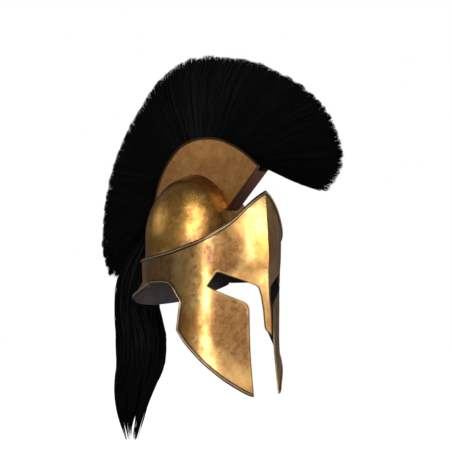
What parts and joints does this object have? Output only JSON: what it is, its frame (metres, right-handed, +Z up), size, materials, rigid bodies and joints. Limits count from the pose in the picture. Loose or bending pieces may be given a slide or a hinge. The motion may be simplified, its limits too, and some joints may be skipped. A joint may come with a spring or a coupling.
{
  "type": "corinthian helmet",
  "caption": "Raised brass helmet that covers the head and face, with a crest of stiff black bristles in a box on the crown and a hanging hair tail.",
  "frame": {"origin": "inside of the crown, on the midline, where the top of the wearer's head rests", "axes": "+Z up; the wearer looks along -Y; +X is the wearer's left"},
  "size_m": [0.1864, 0.4905, 0.5767],
  "materials": {
    "brass_sheet": "aged, polished on the high places, mottled brown in the low ones",
    "brass_trim": "rubbed, lighter than the sheet",
    "block_wood": "dark red-brown, matt",
    "crest_bristle": "stiff black bristles",
    "tail_hair": "long black hair"
  },
  "bodies": {
    "root": {"skull_cap": "brass_sheet", "face_guard": "brass_sheet", "brow_band": "brass_trim", "cheek_band_left": "brass_trim", "cheek_band_right": "brass_trim", "neck_band": "brass_trim", "crest_box": "brass_sheet", "crest_block": "block_wood", "crest_brush": "crest_bristle", "tail_plume": "tail_hair"}
  },
  "joints": []
}
